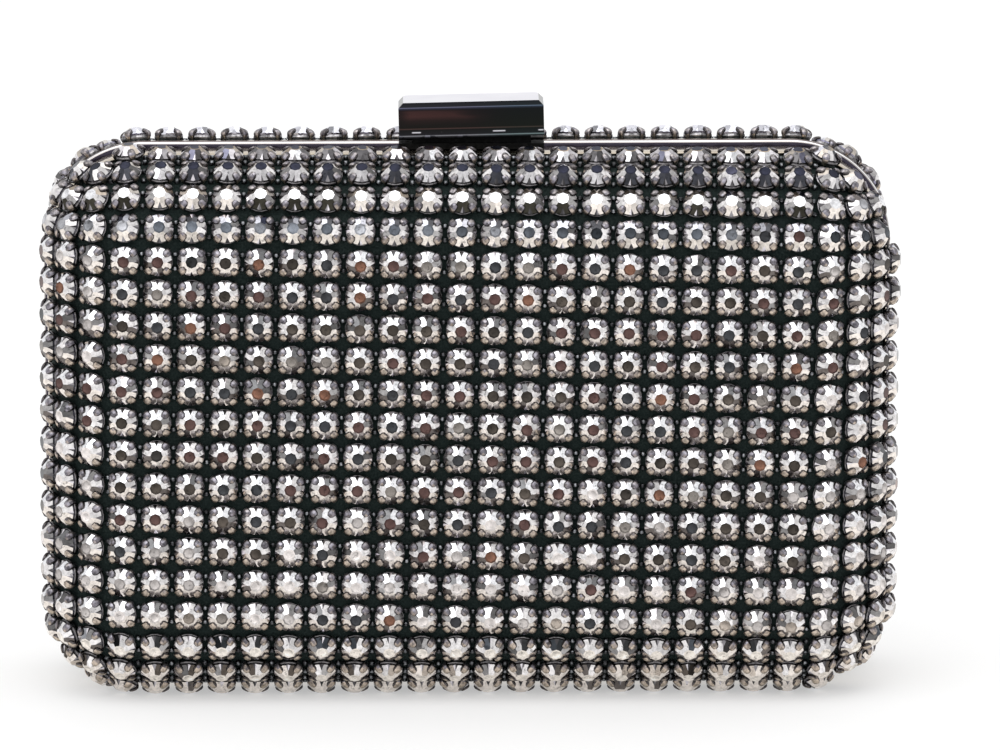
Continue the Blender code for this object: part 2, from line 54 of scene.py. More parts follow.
# Sizes shared with the part's source, in metres
FLAT_WIDTH = 136.8 * MM
FLAT_HEIGHT = 73.2 * MM
EDGE_RADIUS = 19.6 * MM
CORNER_DEPTH = 8.9 * MM
SHELL_WALL = 1.6 * MM
SEAT_GAP = 0.3 * MM
BAND_INNER = EDGE_RADIUS + SEAT_GAP
BAND_OUTER = BAND_INNER + 0.5 * MM
BAND_WRAP = math.radians(2.0)
BEAD_RISE = 1.1 * MM
BEAD_START = 0.15 * MM
BEAD_END = 1.35 * MM
LIP_RADIUS = EDGE_RADIUS - 3.2 * MM
LIP_FRONT = 1.05 * MM
SHELL_EDGE = LIP_FRONT + SEAT_GAP
FRAME_DEPTH = CORNER_DEPTH + BAND_OUTER * math.sin(BAND_WRAP)
LINING_WALL = 0.8 * MM
ROW_COUNT = 19
ROW_WRAP = math.radians(69.83)
ROW_RAISE = 1.9 * MM
CUP_TOP = 20.7 * MM
ROW_PITCH = (FLAT_HEIGHT + 2 * CUP_TOP * ROW_WRAP) / (ROW_COUNT - 1)
STONE_PITCH = 7.05 * MM
CUP_WIDTH = ROW_PITCH * 0.728
FRONT_ROW_TILT = math.radians(1.0)
FRONT_ROW_SHIFT = -1.9 * MM
LEVEL_ROWS = 3
CORNER_DRAW = 0.14
CORNER_DRAW_LENGTH = 20.0 * MM
BAR_LOW, BAR_HIGH = 59.9 * MM, 67.3 * MM
BAR_LEAN = math.radians(1.2)
HINGE_SPACING = 96.0 * MM
SPRING_WIRE = 0.15 * MM
SPRING_TURNS = 4

# Front rows, counted from 0 at the top, with one more stone at an end than their solids have. It
# rests on the frame's edge, and so it sits higher.
ADDED_LEFT = (0, 1, 2)
ADDED_RIGHT = (0, 4, 5)
ADDED_LIFT = 0.45 * MM

# How far the lowest row is sunk, so that its finer stones don't reach below the floor
FOOT_SINK = 0.25 * MM

# The lining's outer corner radius, which its solid has in facets
TRAY_RADIUS = EDGE_RADIUS - 2.3 * MM

# Half the width and the depth of the room that a hoop leaves for a hinge
HINGE_HALF = 7.8 * MM
HINGE_REACH = 1.0 * MM

shell_low, shell_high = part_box("front_shell")
MIDDLE = (shell_low.z + shell_high.z) / 2

rng = random.Random(7)


def mesh_object(name, verts, faces, materials, slots=None, smooth=None):
    mesh = bpy.data.meshes.new(name)
    mesh.from_pydata(verts, [], faces)
    for material in materials:
        mesh.materials.append(material)
    if slots:
        mesh.polygons.foreach_set("material_index", slots)
    if smooth:
        mesh.polygons.foreach_set("use_smooth", smooth)
    obj = bpy.data.objects.new(name, mesh)
    bpy.context.scene.collection.objects.link(obj)
    return obj


def paint(obj, layer, colours):
    """Gives each face corner a colour, listed in the order of the mesh's loops."""
    made = obj.data.color_attributes.new(layer, "FLOAT_COLOR", "CORNER")
    made.data.foreach_set("color", [c for colour in colours for c in (*colour, 1.0)])


def grey(value):
    return (value, value, value)


# Materials


class Finish:
    """A Principled material. Its plain values are for a viewer that reads no nodes."""

    def __init__(self, name, colour, roughness, metallic):
        self.material = bpy.data.materials.new(name)
        self.material.use_nodes = True
        self.tree = self.material.node_tree
        self.shader = self.tree.nodes["Principled BSDF"]
        self.feed(self.shader, {
            "Base Color": (*colour, 1), "Roughness": roughness, "Metallic": metallic,
        })

    def feed(self, made, inputs):
        """Sets a node's inputs, or links those whose value is another node's output."""
        for key, value in inputs.items():
            if isinstance(value, bpy.types.NodeSocket):
                self.tree.links.new(value, made.inputs[key])
            else:
                made.inputs[key].default_value = value

    def node(self, kind, inputs=(), **settings):
        made = self.tree.nodes.new("ShaderNode" + kind)
        for key, value in settings.items():
            setattr(made, key, value)
        self.feed(made, dict(inputs))
        return made

    def noise(self, scale, detail=2.0, stretch=(1, 1, 1), rough=0.5):
        """Noise over the object's own coordinates, at scale features to a metre."""
        place = self.node("TexCoord").outputs["Object"]
        mapping = self.node("Mapping", {"Vector": place, "Scale": stretch})
        return self.node("TexNoise", {
            "Vector": mapping.outputs[0], "Scale": scale, "Detail": detail, "Roughness": rough,
        }).outputs["Fac"]

    def ramp(self, value, *stops):
        """A colour by value, from stops of (position, colour), where one number is a grey."""
        made = self.node("ValToRGB", {"Fac": value})
        elements = made.color_ramp.elements
        while len(elements) < len(stops):
            elements.new(0.5)
        for element, (position, colour) in zip(elements, stops):
            element.position = position
            element.color = (*(colour if isinstance(colour, tuple) else grey(colour)), 1)
        return made.outputs["Color"]

    def mix(self, blend, share, first, second):
        inputs = {"Fac": share, "Color1": first, "Color2": second}
        return self.node("MixRGB", inputs, blend_type=blend).outputs["Color"]

    def maths(self, operation, first, second):
        return self.node("Math", {0: first, 1: second}, operation=operation).outputs[0]

    def painted(self, layer):
        return self.node("VertexColor", layer_name=layer).outputs["Color"]

    def bump(self, height, strength, distance):
        made = self.node("Bump", {"Height": height, "Strength": strength, "Distance": distance})
        self.feed(self.shader, {"Normal": made.outputs["Normal"]})

    def show(self, colour, rough=None):
        """Links the colour, and the roughness where it varies, and gives the material."""
        self.feed(self.shader, {"Base Color": colour})
        if rough is not None:
            self.feed(self.shader, {"Roughness": rough})
        return self.material


def stone_material():
    """Glass with a mirror finish. Each facet's tone is a painted reflection, with faint streaks
    inside it.
    """
    finish = Finish("stone_painted_reflections", grey(0.7), 0.1, 0.95)
    streak = finish.ramp(finish.noise(1300), (0.36, 0.72), (0.56, 1.0), (0.7, 1.12))
    fleck = finish.ramp(finish.noise(950, 3.0, rough=0.6), (0.33, 0.25), (0.40, 1.0))
    streaked = finish.mix("MULTIPLY", 0.7, finish.painted("tone"), streak)
    rough = finish.ramp(finish.noise(500), (0.3, 0.08), (0.7, 0.18))
    return finish.show(finish.mix("MULTIPLY", 0.6, streaked, fleck), rough)


def cup_material():
    """Plated cups and prongs, a little dull. Their tone holds painted shade, darker in the hollows,
    and painted reflections by the way each face looks.
    """
    finish = Finish("cup_metal", (0.5, 0.47, 0.46), 0.35, 1.0)
    wear = finish.ramp(finish.noise(1500, 3.0), (0.34, 0.35), (0.54, 1.0), (0.68, 1.25))
    rough = finish.ramp(finish.noise(700), (0.3, 0.3), (0.7, 0.5))
    return finish.show(finish.mix("MULTIPLY", 0.8, finish.painted("tone"), wear), rough)


def cloth_material():
    """Black cloth bonded to the shells."""
    finish = Finish("black_cloth", (0.009, 0.015, 0.013), 0.95, 0.0)
    finish.feed(finish.shader, {"Specular IOR Level": 0.1})
    fibre = finish.noise(2600, 3.0)
    finish.bump(fibre, 0.6, 0.2 * MM)
    return finish.show(
        finish.ramp(fibre, (0.3, (0.007, 0.013, 0.012)), (0.7, (0.026, 0.037, 0.035))))


def lining_material():
    """Black satin with a fine diagonal weave and soft lengthwise creases."""
    finish = Finish("lining_satin", (0.012, 0.012, 0.014), 0.42, 0.0)
    finish.feed(finish.shader, {"Sheen Weight": 0.18})
    place = finish.node("TexCoord").outputs["Object"]
    weave = finish.node("TexWave", {
        "Vector": place, "Scale": 1100.0, "Distortion": 0.6, "Detail": 1.0,
    }, bands_direction="DIAGONAL").outputs["Fac"]
    crease = finish.noise(60, stretch=(1, 1, 0.35))
    finish.bump(finish.mix("MIX", 0.25, crease, weave), 0.5, 0.6 * MM)
    # The colour is darker where the creases dip: painted shade in the creases.
    return finish.show(
        finish.ramp(crease, (0.3, (0.008, 0.008, 0.010)), (0.7, (0.024, 0.023, 0.027))))


def nickel_material():
    """Polished nickel with very fine lengthwise polishing lines and slight haze."""
    finish = Finish("polished_nickel", (0.52, 0.45, 0.36), 0.16, 1.0)
    haze = finish.ramp(finish.noise(90), (0.3, (0.50, 0.43, 0.345)), (0.7, (0.60, 0.53, 0.43)))
    finish.bump(finish.noise(2500, 1.0, stretch=(0.05, 1, 1)), 0.15, 0.05 * MM)
    rough = finish.ramp(finish.noise(300), (0.3, 0.12), (0.7, 0.24))
    # The tone gives the bead a painted highlight, with painted shade and painted dark reflections
    # beside it, and paints the front band brighter than the back's.
    return finish.show(finish.mix("MULTIPLY", 1.0, haze, finish.painted("tone")), rough)


def gunmetal_material():
    """Near-black mirror plating with faint brown streaks and rubbed spots."""
    finish = Finish("gunmetal_plate", grey(0.006), 0.1, 0.9)
    streak = finish.ramp(
        finish.noise(420, stretch=(0.12, 1, 1)),
        (0.42, (0.003, 0.005, 0.005)), (0.58, (0.008, 0.008, 0.009)), (0.7, (0.03, 0.018, 0.016)))
    rough = finish.ramp(finish.noise(260, 3.0), (0.35, 0.08), (0.75, 0.2))
    return finish.show(streak, rough)


# Colours up the bar's faces, from its lower edge, all painted reflections: a pale line over the
# edge as a painted highlight, a brown line above it, and a bluish line where the upper bevel starts
BAR_REFLECTION_LINES = (
    (0.00, (0.006, 0.006, 0.008)), (0.035, (0.02, 0.02, 0.022)), (0.06, (0.20, 0.20, 0.22)),
    (0.085, (0.012, 0.012, 0.014)), (0.235, (0.008, 0.008, 0.008)), (0.26, (0.06, 0.034, 0.03)),
    (0.285, (0.009, 0.008, 0.007)), (0.80, (0.008, 0.007, 0.008)), (0.85, (0.03, 0.03, 0.05)),
    (0.87, (0.10, 0.10, 0.15)), (0.885, (0.010, 0.010, 0.013)), (1.0, (0.006, 0.006, 0.008)),
)
# Colours of painted reflections on the bar: a brown one in streaks, and short pale dashes
BAR_BROWN_REFLECTION = (0.048, 0.021, 0.020, 1)
BAR_DASH_REFLECTION = (0.55, 0.54, 0.58, 1)


def bar_material():
    """The bar's dark mirror plating with painted reflections: pale on top, with lines along its
    faces.

    The colour "place" holds the share along the bar, 1 on the top face, and the share up the bar.
    """
    finish = Finish("bar_plate", grey(0.02), 0.08, 0.9)
    split = finish.node("SeparateColor", {"Color": finish.painted("place")})
    along, top, up = (split.outputs[k] for k in ("Red", "Green", "Blue"))
    colour = finish.ramp(up, *BAR_REFLECTION_LINES)

    # A painted brown reflection over the left half, in streaks
    left = finish.ramp(along, (0.02, 0.3), (0.08, 1.0), (0.45, 0.7), (0.66, 0.0))
    band = finish.ramp(up, (0.34, 0.0), (0.5, 0.25), (0.62, 1.0), (0.76, 0.8), (0.82, 0.0))
    streak = finish.ramp(finish.noise(340, stretch=(0.16, 1, 1)), (0.40, 0.15), (0.56, 1.0))
    share = finish.maths("MULTIPLY", finish.maths("MULTIPLY", left, band), streak)
    colour = finish.mix("MIX", share, colour, BAR_BROWN_REFLECTION)
    # The right part is tinted green: painted reflection.
    right = finish.ramp(along, (0.5, 1.0), (0.8, (0.8, 1.08, 1.0)))
    colour = finish.mix("MULTIPLY", 1.0, colour, right)

    # Short bright dashes in a line near the lower edge: painted reflections of the stones
    dash = finish.ramp(finish.noise(230, 1.0, stretch=(1, 0, 0)), (0.56, 0.0), (0.60, 1.0))
    height = finish.ramp(up, (0.135, 0.0), (0.15, 1.0), (0.168, 1.0), (0.183, 0.0))
    colour = finish.mix("MIX", finish.maths("MULTIPLY", dash, height), colour, BAR_DASH_REFLECTION)

    # The top face's pale lavender is a painted reflection of the light above, with a faint random
    # haze.
    haze = finish.ramp(finish.noise(120, 1.0), (0.3, (0.78, 0.77, 0.86)), (0.7, (0.88, 0.87, 0.94)))
    rough = finish.ramp(finish.noise(260, 3.0), (0.35, 0.05), (0.75, 0.13))
    return finish.show(finish.mix("MIX", top, colour, haze), rough)


def lacquer_material():
    """Black lacquer on the plates that the bar is pressed towards, with a little grain."""
    finish = Finish("black_lacquer", grey(0.006), 0.45, 0.0)
    finish.feed(finish.shader, {"Specular IOR Level": 0.05})
    grain = finish.noise(900, 3.0)
    rough = finish.ramp(grain, (0.3, 0.38), (0.7, 0.6))
    return finish.show(finish.ramp(grain, (0.35, 0.003), (0.7, 0.009)), rough)


def rolled_metal(name, colour):
    """Plain steel or plated brass with rolling marks."""
    finish = Finish(name, colour, 0.3, 1.0)
    mark = finish.noise(1500, stretch=(0.1, 1, 1))
    finish.bump(mark, 0.2, 0.05 * MM)
    dark = tuple(c * 0.6 for c in colour)
    rough = finish.ramp(finish.noise(400), (0.3, 0.22), (0.7, 0.42))
    return finish.show(finish.ramp(mark, (0.3, dark), (0.65, colour)), rough)


STONE = stone_material()
CUP = cup_material()
CLOTH = cloth_material()
LINING = lining_material()
NICKEL = nickel_material()
GUNMETAL = gunmetal_material()
LACQUER = lacquer_material()
BAR = bar_material()
HINGE = rolled_metal("hinge_plate", (0.52, 0.48, 0.43))
SPRING = rolled_metal("spring_wire", (0.45, 0.45, 0.47))


# Where the rows of stones lie


def point_on_case(u, v):
    """The shell's surface at u across and v up, drawn together at the corners, and its normal."""
    over_u = max(abs(u) - FLAT_WIDTH / 2, 0)
    turned = min(over_u / CORNER_DRAW_LENGTH, 1)
    drawn = 1 - CORNER_DRAW * turned * turned * (3 - 2 * turned)
    latitude = max(abs(v) - FLAT_HEIGHT / 2, 0) / CUP_TOP * drawn
    longitude = over_u / (CUP_TOP * math.cos(latitude))
    normal = Vector((
        math.copysign(math.cos(latitude) * math.sin(longitude), u),
        -math.cos(latitude) * math.cos(longitude),
        math.copysign(math.sin(latitude), v),
    ))
    centre_x = math.copysign(min(abs(u), FLAT_WIDTH / 2), u)
    centre_z = math.copysign(min(abs(v), FLAT_HEIGHT / 2), v) + MIDDLE
    return Vector((centre_x, -CORNER_DEPTH, centre_z)) + normal * EDGE_RADIUS, normal


class Row:
    """The path of one row, as the part's source lays it."""

    def __init__(self, index, back):
        tilt, shift = (0, 0) if back else (FRONT_ROW_TILT, FRONT_ROW_SHIFT)
        self.height = ((ROW_COUNT - 1) / 2 - index) * ROW_PITCH + ROW_RAISE
        self.slope = math.tan(tilt) * min((ROW_COUNT - 1 - index) / LEVEL_ROWS, 1)
        self.start = shift + self.height * math.tan(tilt)

    def section(self, u):
        """Seat, normal, along and across at u, for the front half."""
        v = self.height - self.slope * u
        seat, normal = point_on_case(u, v)
        step = STONE_PITCH / 100
        ahead = point_on_case(u + step, v - self.slope * step)[0]
        behind = point_on_case(u - step, v + self.slope * step)[0]
        along = (ahead - behind).normalized()
        return seat, normal, along, normal.cross(along).normalized()

    def clears_frame(self, u):
        """Whether all four corners of a cup at u are in front of the frame's edge."""
        seat, normal, along, across = self.section(u)
        half = CUP_WIDTH / 2
        corners = [
            seat + normal * SEAT_GAP + along * end + across * side
            for end in (-half, half) for side in (-half, half)
        ]
        return all(-corner.y >= FRAME_DEPTH + SEAT_GAP for corner in corners)

    def stones(self):
        places = []
        for way in (-1, 1):
            u = self.start if way > 0 else self.start - STONE_PITCH
            while self.clears_frame(u):
                places.append(u)
                u += way * STONE_PITCH
        return sorted(places)


# One stone in its cup and the bars between two cups, drawn along x, across y and outwards z, in
# millimetres. Each face is its corners and what it is.
FACETS = 8
FACET_TURN = math.tau / FACETS
NOTCH_TURN = math.radians(9.5)
TABLE_RADIUS = 1.30
TABLE_INNER = 0.92
TABLE_HEIGHT = 3.4
APEX_RADIUS = 2.0
GIRDLE_RADIUS = 3.00
GIRDLE_FOOT = 1.1
CROWN_SLOPE = 0.86
CUP_SIDES = 16
PRONGS = 4

# Radius and height up the cup's wall, from inside to outside
CUP_WALL = ((2.84, 1.0), (3.08, 1.5), (3.12, 0.95), (2.62, 0.34))

# Radius, height and half width up a prong, and the share of that width and the rise across it
PRONG_PATH = (
    (3.12, 0.5, 0.50), (3.50, 1.25, 0.68), (3.54, 1.95, 0.80), (3.18, 2.44, 0.86),
    (2.62, 2.80, 0.82), (2.16, 2.97, 0.64), (1.98, 2.85, 0.42),
)
PRONG_ACROSS = ((-1, -0.42), (-0.84, -0.05), (0, 0.08), (0.84, -0.05), (1, -0.42))

# Where the two bars are across the row, their sides, and radius and height up each
LINK_PLACES = (-1.55, 1.5)
LINK_SIDES = 8
LINK_WALL = ((0.50, 0.1), (0.52, 0.6), (0.34, 0.9))
LINK_STRETCH = 1.2


def crown_height(radius, off_middle):
    """Height of a main crown facet at a radius, at an angle from the facet's middle."""
    table_edge = TABLE_RADIUS * math.cos(FACET_TURN / 2)
    return TABLE_HEIGHT - CROWN_SLOPE * (radius * math.cos(off_middle) - table_edge)


class Shape:
    """Points, and faces with what each of them is, for something that every row repeats."""

    def __init__(self):
        self.points, self.faces = [], []

    def point(self, x, y, z):
        self.points.append(Vector((x, y, z)))
        return len(self.points) - 1

    def ring(self, radius, z, sides=FACETS, turn=0.0):
        """A level ring whose first point is turned from x by an angle."""
        angles = [k * math.tau / sides + turn for k in range(sides)]
        return [self.point(radius * math.cos(a), radius * math.sin(a), z) for a in angles]

    def wall(self, rings, kind):
        for near, far in zip(rings, rings[1:]):
            for i in range(len(near)):
                j = (i + 1) % len(near)
                self.faces.append(([near[i], near[j], far[j], far[i]], kind))


def add_stone(shape):
    """A table with a rim, eight main facets that meet in notches at the girdle, and the girdle."""
    girdle_z = crown_height(GIRDLE_RADIUS, FACET_TURN / 2 - NOTCH_TURN)
    inner = shape.ring(TABLE_INNER, TABLE_HEIGHT)
    table = shape.ring(TABLE_RADIUS, TABLE_HEIGHT)
    apex = shape.ring(APEX_RADIUS, crown_height(APEX_RADIUS, FACET_TURN / 2))
    after = shape.ring(GIRDLE_RADIUS, girdle_z, turn=NOTCH_TURN)
    before = shape.ring(GIRDLE_RADIUS, girdle_z, turn=-NOTCH_TURN)
    ridge = shape.ring(GIRDLE_RADIUS * 1.02, girdle_z - 0.12)
    middle = shape.ring(GIRDLE_RADIUS, crown_height(GIRDLE_RADIUS, 0), turn=FACET_TURN / 2)
    shape.faces.append((inner, "table"))
    for k in range(FACETS):
        n = (k + 1) % FACETS
        main = [table[k], apex[k], after[k], middle[k], before[n], apex[n], table[n]]
        shape.faces += [
            ([inner[k], table[k], table[n], inner[n]], "table_rim"), (main, "main"),
            ([apex[k], before[k], ridge[k]], "notch"), ([apex[k], ridge[k], after[k]], "notch"),
        ]
    rim = [point for pair in zip(before, after) for point in pair]
    low = []
    for point in rim:
        x, y, _ = shape.points[point] * 0.94
        low.append(shape.point(x, y, GIRDLE_FOOT))
    for i in range(len(rim)):
        j = (i + 1) % len(rim)
        shape.faces.append(([rim[i], low[i], low[j], rim[j]], "girdle"))


def add_cup(shape):
    turn = math.pi / CUP_SIDES
    rings = [shape.ring(radius, z, CUP_SIDES, turn) for radius, z in CUP_WALL]
    for near, far in zip(rings, rings[1:]):
        for i in range(CUP_SIDES):
            j = (i + 1) % CUP_SIDES
            shape.faces.append(([near[i], far[i], far[j], near[j]], "cup"))


def add_prong(shape, angle):
    """A bent claw that narrows over the stone's edge, painted dark at its sides and its tip as
    shade.
    """
    out = Vector((math.cos(angle), math.sin(angle), 0))
    side = Vector((-out.y, out.x, 0))
    last = len(PRONG_PATH) - 1
    rows = []
    for i, (radius, z, half) in enumerate(PRONG_PATH):
        below, above = PRONG_PATH[max(i - 1, 0)], PRONG_PATH[min(i + 1, last)]
        run = Vector((above[0] - below[0], above[1] - below[1])).normalized()
        lift = out * run.y - Vector((0, 0, run.x))
        middle = out * radius + Vector((0, 0, z))
        rows.append([
            shape.point(*(middle + side * half * share + lift * rise))
            for share, rise in PRONG_ACROSS
        ])
    for level, (near, far) in enumerate(zip(rows, rows[1:])):
        for i in range(4):
            kind = "prong_side" if i in (0, 3) or level == last - 1 else "prong"
            shape.faces.append(([near[i], near[i + 1], far[i + 1], far[i]], kind))
    shape.faces.append((rows[-1], "prong_side"))


def stone_in_cup():
    shape = Shape()
    add_stone(shape)
    add_cup(shape)
    for k in range(PRONGS):
        add_prong(shape, (k + 0.5) * math.tau / PRONGS)
    return shape


def link_bars():
    """The two small bars between two cups."""
    shape = Shape()
    for place in LINK_PLACES:
        rings = [shape.ring(radius, z, LINK_SIDES) for radius, z in LINK_WALL]
        for point in [point for ring in rings for point in ring]:
            shape.points[point].x *= LINK_STRETCH
            shape.points[point].y += place
        shape.wall(rings, "link")
        shape.faces.append((rings[-1], "link"))
    return shape


# Tones of the stones and cups: painted reflections and painted shade

STONE_KINDS = ("table", "table_rim", "main", "notch", "girdle")
SMOOTH_KINDS = ("cup", "prong", "link")

# Painted reflection: the tone of a facet by the height, in degrees, of what it would mirror: level
# in front is 0, overhead 90 and level behind 180. It is painted dark where the facet would mirror
# no light.
PAINTED_REFLECTION = (
    (-90, (0.88, 0.81, 0.73)), (-45, (0.92, 0.86, 0.79)), (-32, (0.62, 0.54, 0.47)),
    (-22, (0.12, 0.10, 0.085)), (-4, (0.055, 0.047, 0.04)), (14, (0.035, 0.04, 0.045)),
    (27, (0.13, 0.145, 0.17)), (38, (0.55, 0.55, 0.58)), (46, (0.92, 0.92, 0.95)),
    (78, (0.92, 0.92, 0.95)), (83, (0.12, 0.12, 0.18)), (90, (0.03, 0.032, 0.05)),
    (132, (0.02, 0.022, 0.04)), (142, (0.34, 0.28, 0.22)), (165, (0.80, 0.76, 0.72)),
    (200, (0.85, 0.80, 0.75)),
)

# Painted reflection and painted shade: the tone of a cup's metal by the height, in degrees, that it
# faces
PAINTED_METAL_LIGHT = (
    (-90, (0.17, 0.16, 0.13)), (-65, (0.24, 0.21, 0.17)), (-42, (0.52, 0.44, 0.35)),
    (-20, (0.63, 0.53, 0.44)), (-4, (0.46, 0.39, 0.34)), (10, (0.25, 0.23, 0.26)),
    (30, (0.36, 0.345, 0.39)), (50, (0.46, 0.42, 0.41)), (70, (0.30, 0.28, 0.31)),
    (90, (0.12, 0.12, 0.15)),
)

# A stone whose table looks up by more than this lies almost level. Its table gets a painted
# reflection, dark blue at its far side and tan at its near side.
LEVEL = 0.92
TABLE_FAR_REFLECTION, TABLE_NEAR_REFLECTION = (0.032, 0.035, 0.062), (0.36, 0.29, 0.21)

# Painted reflections on the two facets at the foot of a stone, by how far its table looks up: from
# the least outward z, the share of stones that have the first tone, and the two tones
FOOT_TONES = (
    (0.93, 0.70, (0.95, 0.95, 0.98), (0.20, 0.20, 0.27)),
    (0.72, 0.72, (0.070, 0.072, 0.086), (0.80, 0.78, 0.80)),
    (0.40, 0.45, (0.050, 0.046, 0.036), (0.88, 0.81, 0.75)),
    (0.15, 0.88, (0.88, 0.81, 0.74), (0.15, 0.13, 0.11)),
)

# Painted reflections on a dark table, up to a share of the tables: brown, copper, grey and tan
DARK_TABLES = (
    (0.30, (0.115, 0.068, 0.062)), (0.36, (0.22, 0.11, 0.075)),
    (0.60, (0.056, 0.058, 0.063)), (0.68, (0.26, 0.235, 0.215)),
)

# Tones of girdles: those that face the parting line vary, as painted reflections, and the rest are
# dark, as painted shade
INNER_GIRDLE_REFLECTIONS = ((0.85, 0.85, 0.92), (0.38, 0.37, 0.47), (0.5, 0.5, 0.6), (0.28, 0.27, 0.36))
GIRDLE_SHADE = (0.21, 0.20, 0.21)

# Tones of cup walls and of the sides of prongs, dark as painted shade
WALL_SHADE = (0.24, 0.23, 0.235)
PRONG_SIDE_SHADE = (0.125, 0.113, 0.115)

# Painted reflections on downward side facets, pale and dark
SIDE_DOWN_REFLECTION, SIDE_DOWN_DARK_REFLECTION = (0.88, 0.81, 0.75), (0.16, 0.14, 0.13)

# Painted reflection greys that facets facing the parting line, facets mirroring what is behind, and
# side facets of level and of other stones are picked from
INWARD_GREYS = (0.95, 0.95, 0.92, 0.88, 0.7, 0.35)
BEHIND_GREYS = (0.92, 0.85, 0.8, 0.55, 0.3, 0.08)
LEVEL_SIDE_GREYS = (0.92, 0.6, 0.32, 0.16, 0.09)
SIDE_GREYS = (0.93, 0.92, 0.9, 0.88, 0.86, 0.83, 0.78, 0.66, 0.45, 0.28, 0.14)

# How far above level a stone is looked at for its painted reflections, and how much the lie of its
# faces varies
VIEW_HEIGHT = math.radians(10)
TABLE_WOBBLE, FACET_WOBBLE = 0.035, 0.045


def looked_up(table, angle):
    for (low, first), (high, second) in zip(table, table[1:]):
        if angle <= high:
            share = max((angle - low) / (high - low), 0)
            return [a + (b - a) * share for a, b in zip(first, second)]
    return list(table[-1][1])


def tinted(light, *tint):
    return [light * share for share in tint]


def levelled(vector):
    return Vector((vector.x, vector.y, 0))


def height_of(vector):
    """How far above level a unit vector points, in degrees."""
    return math.degrees(math.asin(max(-1, min(1, vector.z))))


def table_tone(colour, height, outward, low, pick):
    """A table's painted reflection tone: some of the dark ones are pale, brown, copper, grey or tan
    instead.
    """
    if max(colour) >= 0.3 or height >= 14:
        return colour
    # Tables low on the bag or turned to the side more often get a pale painted reflection.
    turn = math.degrees(math.atan2(abs(outward.x), abs(outward.y)))
    pale = 0.7 * max(min((low - 0.1) / 0.8, 1), 0) + (0.5 if 14 < turn < 62 else 0)
    if rng.random() < pale:
        return tinted(rng.uniform(0.42, 0.8), 1, 0.93, 0.90)
    for share, tone in DARK_TABLES:
        if pick < share:
            return tone
    return colour


def main_tone(colour, height, ahead, aside, outward, low, pick):
    """The painted reflection tone of a main facet that isn't one of the two at the stone's foot."""
    if ahead <= 0 and 86 < 180 - height < 128:
        return tinted(rng.choice(BEHIND_GREYS), 0.96, 0.96, 1.06)
    if outward.z > 0.93 and 48 < aside < 130:
        return tinted(rng.choice(LEVEL_SIDE_GREYS), 1, 0.96, 1)
    to_side = 28 < aside < 130
    if to_side and -26 < height < 52:
        return tinted(rng.choice(SIDE_GREYS), 1, 0.97, 0.97)
    if to_side and height <= -26:
        return SIDE_DOWN_DARK_REFLECTION if pick < (0.10 if low > 0.9 else 0.20) else SIDE_DOWN_REFLECTION
    return [c * 0.2 for c in colour] if pick < 0.07 else colour


def facet_tone(normal, outward, kind, low, mood):
    """A facet's painted reflection tone from its own lie and that of its stone, the same seen from
    any side.

    low is how far down the bag its stone sits: 0 at the middle and 1 at the lower bend. mood is
    its stone's own share between 0 and 1.
    """
    wobble = TABLE_WOBBLE if kind == "table" else FACET_WOBBLE
    shaken = Vector([c + rng.gauss(0, wobble) for c in normal]).normalized()
    level = levelled(outward).normalized()
    inward = shaken.dot(level) < -0.05
    if kind == "girdle":
        return rng.choice(INNER_GIRDLE_REFLECTIONS) if inward else GIRDLE_SHADE
    if inward:
        return tinted(rng.choice(INWARD_GREYS), 0.97, 0.97, 1.06)
    view = level * math.cos(VIEW_HEIGHT) + Vector((0, 0, math.sin(VIEW_HEIGHT)))
    ray = shaken * (2 * shaken.dot(view)) - view
    height = height_of(ray)
    ahead = ray.dot(level)
    aside = math.degrees(math.atan2(abs(ray.cross(level).z), ahead))
    colour = looked_up(PAINTED_REFLECTION, height if ahead > 0 or height < 0 else 180 - height)
    pick = rng.random()
    # Notches are mostly dark painted reflections, and a few are pale.
    if kind == "notch":
        return tinted(rng.choice((0.05, 0.08, 0.15, 0.3)) if pick < 0.8 else 0.75, 1, 0.95, 1)
    if kind == "table":
        return table_tone(colour, height, outward, low, pick)
    if normal.dot(outward) < 0.9 and normal.z < outward.z - 0.3 and ahead > 0 and aside < 48:
        for least, share, first, second in FOOT_TONES:
            if outward.z > least:
                return tinted(rng.uniform(0.7, 1.06), *(first if mood < share else second))
    return main_tone(colour, height, ahead, aside, outward, low, pick)


def table_tones(tone, points, outward):
    """A table's painted reflection at each of its corners, since no table mirrors one even tone."""
    middle = sum(points, Vector()) / len(points)
    spread = max((point - middle).length for point in points)
    if outward.z > LEVEL:
        near = levelled(outward).normalized()
        shares = [(p - middle).dot(near) / spread for p in points]
        return [TABLE_NEAR_REFLECTION if share > 0.8 else TABLE_FAR_REFLECTION for share in shares]
    way = Vector((rng.uniform(-1, 1), rng.uniform(-1, 1), -1)).normalized()
    contrast = rng.uniform(0.1, 0.6)
    return [tinted(1 + contrast * (p - middle).dot(way) / spread, *tone) for p in points]


def table_rim_tone(table, off_middle, outward):
    # The table's rim goes on with its painted reflection: near and far on an almost level stone,
    # and a little darker than a dark table on other stones.
    if outward.z > LEVEL:
        return TABLE_NEAR_REFLECTION if off_middle.dot(levelled(outward)) > 0 else TABLE_FAR_REFLECTION
    share = rng.uniform(0.45, 0.95)
    return tinted(share, *table) if max(table) < 0.6 else table


